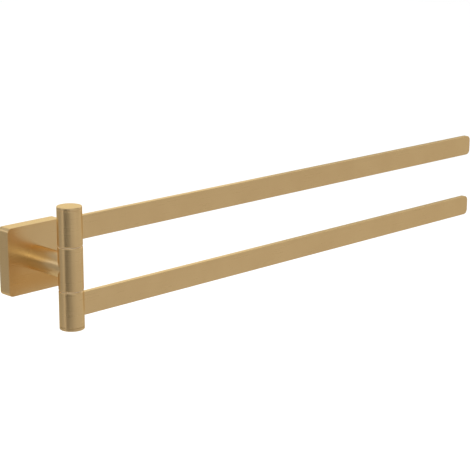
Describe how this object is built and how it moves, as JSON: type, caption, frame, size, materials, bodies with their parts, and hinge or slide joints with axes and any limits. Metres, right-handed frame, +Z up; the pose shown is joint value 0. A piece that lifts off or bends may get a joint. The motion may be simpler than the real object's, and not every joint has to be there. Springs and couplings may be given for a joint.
{
  "type": "double towel bar",
  "caption": "Wall-mounted towel holder: flat bars swivel one above the other on a slim round column, which a round stem holds in front of a square wall plate.",
  "frame": {"origin": "centre of the wall plate's back face, on the wall", "axes": "+X along the bars as they rest parallel to the wall, +Y into the wall, +Z up along the column"},
  "size_m": [0.4598, 0.0553, 0.0842],
  "materials": {
    "brushed_gold": "fine satin brushed, gold coloured",
    "stainless": "plain turned",
    "zinc": "as cast, tumbled",
    "polymer": "matt moulded, beige"
  },
  "bodies": {
    "wall_mount": {"mounting_bracket": "zinc", "wall_plate": "brushed_gold", "plate_set_screw": "stainless", "stem": "brushed_gold", "stem_washer": "stainless", "stem_screw": "stainless", "hinge_knuckle": "brushed_gold", "axle_pin": "stainless", "upper_washer": "stainless", "upper_axle_screw": "stainless", "lower_washer": "stainless", "lower_axle_screw": "stainless"},
    "upper_arm": {"upper_sleeve": "brushed_gold", "upper_bar": "brushed_gold", "upper_bush": "polymer", "upper_thrust_washer": "polymer", "upper_cap": "brushed_gold"},
    "lower_arm": {"lower_sleeve": "brushed_gold", "lower_bar": "brushed_gold", "lower_bush": "polymer", "lower_thrust_washer": "polymer", "lower_cap": "brushed_gold"}
  },
  "joints": [
    {"name": "upper_swivel", "type": "hinge", "parent": "wall_mount", "child": "upper_arm", "pos_m": [0, -0.0468, 0.0264], "axis": [0, 0, -1], "range_deg": [0, 180]},
    {"name": "lower_swivel", "type": "hinge", "parent": "wall_mount", "child": "lower_arm", "pos_m": [0, -0.0468, -0.0264], "axis": [0, 0, -1], "range_deg": [0, 180]}
  ]
}
